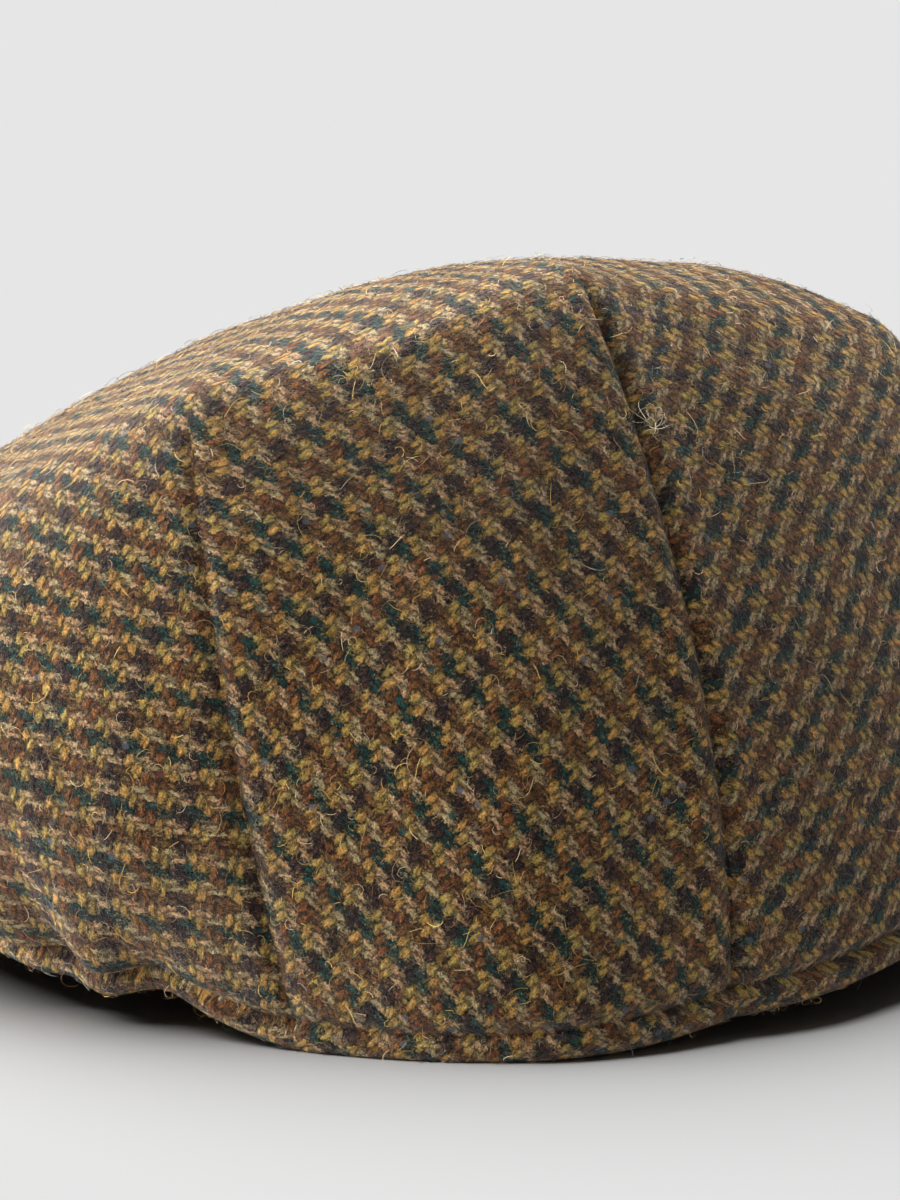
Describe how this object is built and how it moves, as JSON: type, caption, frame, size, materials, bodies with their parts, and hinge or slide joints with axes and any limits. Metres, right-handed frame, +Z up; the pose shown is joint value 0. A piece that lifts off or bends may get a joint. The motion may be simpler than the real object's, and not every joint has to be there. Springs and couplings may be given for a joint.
{
  "type": "flat cap",
  "caption": "Soft woollen tweed flat cap with sewn back darts, a turned hem and a short stiff peak under the front of the crown; worn on the head.",
  "frame": {"origin": "middle of the cap's bounding box, at the table that it rests on", "axes": "+Y to the back of the cap, +X to the wearer's left, +Z up"},
  "size_m": [0.1902, 0.2622, 0.0977],
  "materials": {
    "crown_tweed": "matte woollen tweed",
    "peak_tweed": "matte woollen tweed"
  },
  "bodies": {
    "root": {"crown": "crown_tweed", "peak": "peak_tweed"}
  },
  "joints": []
}
